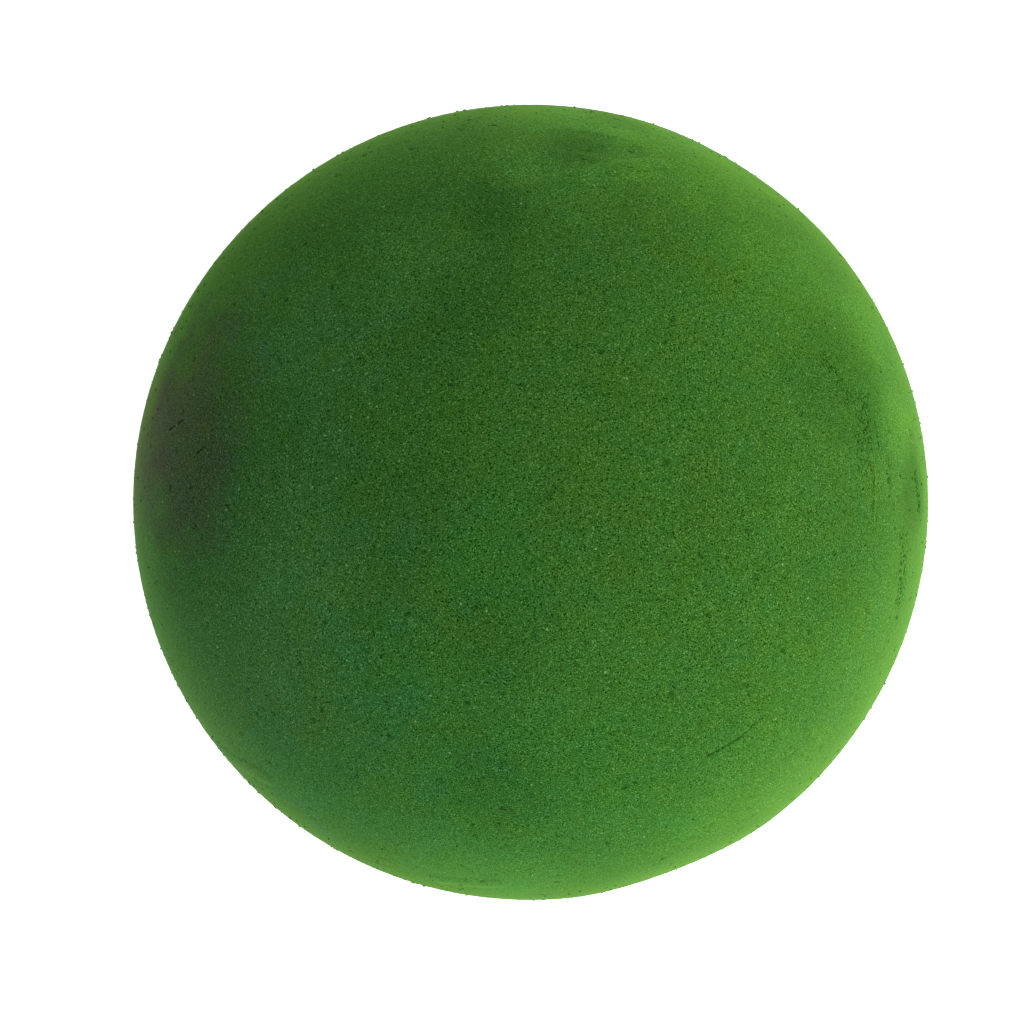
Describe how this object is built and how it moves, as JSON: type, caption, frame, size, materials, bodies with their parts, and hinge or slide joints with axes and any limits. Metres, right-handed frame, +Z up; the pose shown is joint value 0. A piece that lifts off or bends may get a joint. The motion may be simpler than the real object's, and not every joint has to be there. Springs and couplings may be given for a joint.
{
  "type": "floral foam ball",
  "caption": "Ball of dry green floral foam, made of glued half-balls and standing on a small flat foot, for flower stems to be pushed into.",
  "frame": {"origin": "centre of the flat foot under the ball", "axes": "+Z up through the ball's centre and square to the glue film; -Y faces the lower edge of the picture and +X its right edge"},
  "size_m": [0.2, 0.2, 0.1975],
  "materials": {
    "foam": "dry open-cell phenolic foam, matt and grainy",
    "glue": "dried contact glue"
  },
  "bodies": {
    "root": {"upper_half": "foam", "lower_half": "foam", "glue_film": "glue"}
  },
  "joints": []
}
